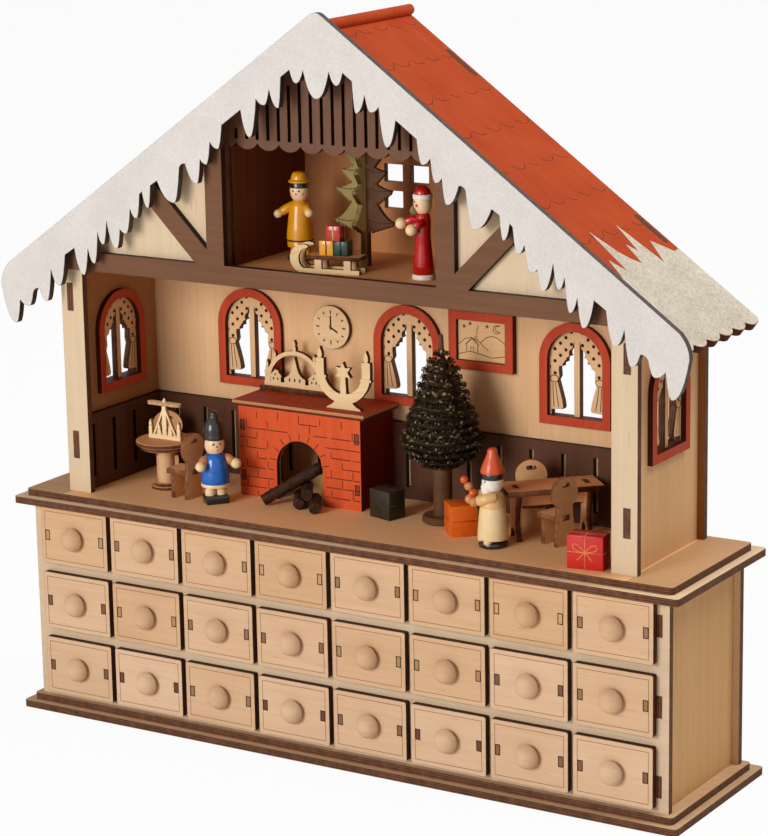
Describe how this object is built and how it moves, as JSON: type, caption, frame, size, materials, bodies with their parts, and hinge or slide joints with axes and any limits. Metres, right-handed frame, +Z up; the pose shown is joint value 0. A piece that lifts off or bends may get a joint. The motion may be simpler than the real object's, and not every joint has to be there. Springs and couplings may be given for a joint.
{
  "type": "wooden advent calendar",
  "caption": "Wooden house with a snowy icicle roof, open furnished room and attic, standing on a chest of small pull-out drawers that hold daily gifts.",
  "frame": {"origin": "middle of the footprint, on the surface the calendar stands on", "axes": "+Z up, front towards -Y, +X to the right of someone facing the drawers"},
  "size_m": [0.437, 0.1124, 0.4176],
  "materials": {
    "birch_plate": "matte",
    "birch_plinth": "matte",
    "birch_frame": "matte",
    "birch_case": "matte",
    "birch_case_back": "matte",
    "birch_grid": "matte",
    "birch_cornice": "matte",
    "birch_floor": "matte",
    "birch_back_wall": "matte",
    "birch_side_wall": "matte",
    "birch_gable": "matte",
    "brown_timber": "matte",
    "birch_attic_floor": "matte",
    "birch_attic_cheeks": "matte",
    "brown_valance": "matte",
    "terracotta_roof": "matte",
    "terracotta_ridge": "matte",
    "snow_board": "matte",
    "brown_wainscot": "matte",
    "red_window_frames": "matte",
    "birch_clock": "matte",
    "red_picture_frame": "matte",
    "brick_red": "matte",
    "bark_brown": "matte",
    "birch_candles": "matte",
    "tree_green": "matte",
    "brown_tables": "matte",
    "birch_pyramid": "matte",
    "brown_chairs": "matte",
    "painted_presents": "matte",
    "painted_blue_figure": "matte",
    "painted_cream_figure": "matte",
    "painted_yellow_figure": "matte",
    "painted_red_figure": "matte",
    "birch_sled": "matte",
    "green_fir": "matte",
    "birch_drawer_01": "matte",
    "birch_drawer_02": "matte",
    "birch_drawer_03": "matte",
    "birch_drawer_04": "matte",
    "birch_drawer_05": "matte",
    "birch_drawer_06": "matte",
    "birch_drawer_07": "matte",
    "birch_drawer_08": "matte",
    "birch_drawer_09": "matte",
    "birch_drawer_10": "matte",
    "birch_drawer_11": "matte",
    "birch_drawer_12": "matte",
    "birch_drawer_13": "matte",
    "birch_drawer_14": "matte",
    "birch_drawer_15": "matte",
    "birch_drawer_16": "matte",
    "birch_drawer_17": "matte",
    "birch_drawer_18": "matte",
    "birch_drawer_19": "matte",
    "birch_drawer_20": "matte",
    "birch_drawer_21": "matte",
    "birch_drawer_22": "matte",
    "birch_drawer_23": "matte",
    "birch_drawer_24": "matte"
  },
  "bodies": {
    "house": {"base_plate": "birch_plate", "plinth_plate": "birch_plinth", "face_frame": "birch_frame", "cabinet_sides": "birch_case", "cabinet_back": "birch_case_back", "drawer_grid": "birch_grid", "cornice_plate": "birch_cornice", "floor_plate": "birch_floor", "house_back_wall": "birch_back_wall", "house_sides": "birch_side_wall", "front_gable": "birch_gable", "timber_frame": "brown_timber", "attic_floor": "birch_attic_floor", "attic_cheeks": "birch_attic_cheeks", "attic_valance": "brown_valance", "roof_panels": "terracotta_roof", "ridge_cap": "terracotta_ridge", "snow_fascia": "snow_board", "wainscot": "brown_wainscot", "window_frames": "red_window_frames", "clock": "birch_clock", "picture": "red_picture_frame", "fireplace": "brick_red", "firewood": "bark_brown", "mantel_candles": "birch_candles", "spiral_tree": "tree_green", "tables": "brown_tables", "table_pyramid": "birch_pyramid", "chairs": "brown_chairs", "presents": "painted_presents", "figure_blue_coat": "painted_blue_figure", "figure_cream_coat": "painted_cream_figure", "figure_yellow_coat": "painted_yellow_figure", "figure_red_coat": "painted_red_figure", "sled": "birch_sled", "fir_silhouette": "green_fir"},
    "drawer_01": {"drawer_01": "birch_drawer_01"},
    "drawer_02": {"drawer_02": "birch_drawer_02"},
    "drawer_03": {"drawer_03": "birch_drawer_03"},
    "drawer_04": {"drawer_04": "birch_drawer_04"},
    "drawer_05": {"drawer_05": "birch_drawer_05"},
    "drawer_06": {"drawer_06": "birch_drawer_06"},
    "drawer_07": {"drawer_07": "birch_drawer_07"},
    "drawer_08": {"drawer_08": "birch_drawer_08"},
    "drawer_09": {"drawer_09": "birch_drawer_09"},
    "drawer_10": {"drawer_10": "birch_drawer_10"},
    "drawer_11": {"drawer_11": "birch_drawer_11"},
    "drawer_12": {"drawer_12": "birch_drawer_12"},
    "drawer_13": {"drawer_13": "birch_drawer_13"},
    "drawer_14": {"drawer_14": "birch_drawer_14"},
    "drawer_15": {"drawer_15": "birch_drawer_15"},
    "drawer_16": {"drawer_16": "birch_drawer_16"},
    "drawer_17": {"drawer_17": "birch_drawer_17"},
    "drawer_18": {"drawer_18": "birch_drawer_18"},
    "drawer_19": {"drawer_19": "birch_drawer_19"},
    "drawer_20": {"drawer_20": "birch_drawer_20"},
    "drawer_21": {"drawer_21": "birch_drawer_21"},
    "drawer_22": {"drawer_22": "birch_drawer_22"},
    "drawer_23": {"drawer_23": "birch_drawer_23"},
    "drawer_24": {"drawer_24": "birch_drawer_24"}
  },
  "joints": [
    {"name": "drawer_01_slide", "type": "slide", "parent": "house", "child": "drawer_01", "axis": [0, -1, 0], "range_m": [0, 0.06]},
    {"name": "drawer_02_slide", "type": "slide", "parent": "house", "child": "drawer_02", "axis": [0, -1, 0], "range_m": [0, 0.06]},
    {"name": "drawer_03_slide", "type": "slide", "parent": "house", "child": "drawer_03", "axis": [0, -1, 0], "range_m": [0, 0.06]},
    {"name": "drawer_04_slide", "type": "slide", "parent": "house", "child": "drawer_04", "axis": [0, -1, 0], "range_m": [0, 0.06]},
    {"name": "drawer_05_slide", "type": "slide", "parent": "house", "child": "drawer_05", "axis": [0, -1, 0], "range_m": [0, 0.06]},
    {"name": "drawer_06_slide", "type": "slide", "parent": "house", "child": "drawer_06", "axis": [0, -1, 0], "range_m": [0, 0.06]},
    {"name": "drawer_07_slide", "type": "slide", "parent": "house", "child": "drawer_07", "axis": [0, -1, 0], "range_m": [0, 0.06]},
    {"name": "drawer_08_slide", "type": "slide", "parent": "house", "child": "drawer_08", "axis": [0, -1, 0], "range_m": [0, 0.06]},
    {"name": "drawer_09_slide", "type": "slide", "parent": "house", "child": "drawer_09", "axis": [0, -1, 0], "range_m": [0, 0.06]},
    {"name": "drawer_10_slide", "type": "slide", "parent": "house", "child": "drawer_10", "axis": [0, -1, 0], "range_m": [0, 0.06]},
    {"name": "drawer_11_slide", "type": "slide", "parent": "house", "child": "drawer_11", "axis": [0, -1, 0], "range_m": [0, 0.06]},
    {"name": "drawer_12_slide", "type": "slide", "parent": "house", "child": "drawer_12", "axis": [0, -1, 0], "range_m": [0, 0.06]},
    {"name": "drawer_13_slide", "type": "slide", "parent": "house", "child": "drawer_13", "axis": [0, -1, 0], "range_m": [0, 0.06]},
    {"name": "drawer_14_slide", "type": "slide", "parent": "house", "child": "drawer_14", "axis": [0, -1, 0], "range_m": [0, 0.06]},
    {"name": "drawer_15_slide", "type": "slide", "parent": "house", "child": "drawer_15", "axis": [0, -1, 0], "range_m": [0, 0.06]},
    {"name": "drawer_16_slide", "type": "slide", "parent": "house", "child": "drawer_16", "axis": [0, -1, 0], "range_m": [0, 0.06]},
    {"name": "drawer_17_slide", "type": "slide", "parent": "house", "child": "drawer_17", "axis": [0, -1, 0], "range_m": [0, 0.06]},
    {"name": "drawer_18_slide", "type": "slide", "parent": "house", "child": "drawer_18", "axis": [0, -1, 0], "range_m": [0, 0.06]},
    {"name": "drawer_19_slide", "type": "slide", "parent": "house", "child": "drawer_19", "axis": [0, -1, 0], "range_m": [0, 0.06]},
    {"name": "drawer_20_slide", "type": "slide", "parent": "house", "child": "drawer_20", "axis": [0, -1, 0], "range_m": [0, 0.06]},
    {"name": "drawer_21_slide", "type": "slide", "parent": "house", "child": "drawer_21", "axis": [0, -1, 0], "range_m": [0, 0.06]},
    {"name": "drawer_22_slide", "type": "slide", "parent": "house", "child": "drawer_22", "axis": [0, -1, 0], "range_m": [0, 0.06]},
    {"name": "drawer_23_slide", "type": "slide", "parent": "house", "child": "drawer_23", "axis": [0, -1, 0], "range_m": [0, 0.06]},
    {"name": "drawer_24_slide", "type": "slide", "parent": "house", "child": "drawer_24", "axis": [0, -1, 0], "range_m": [0, 0.06]}
  ]
}
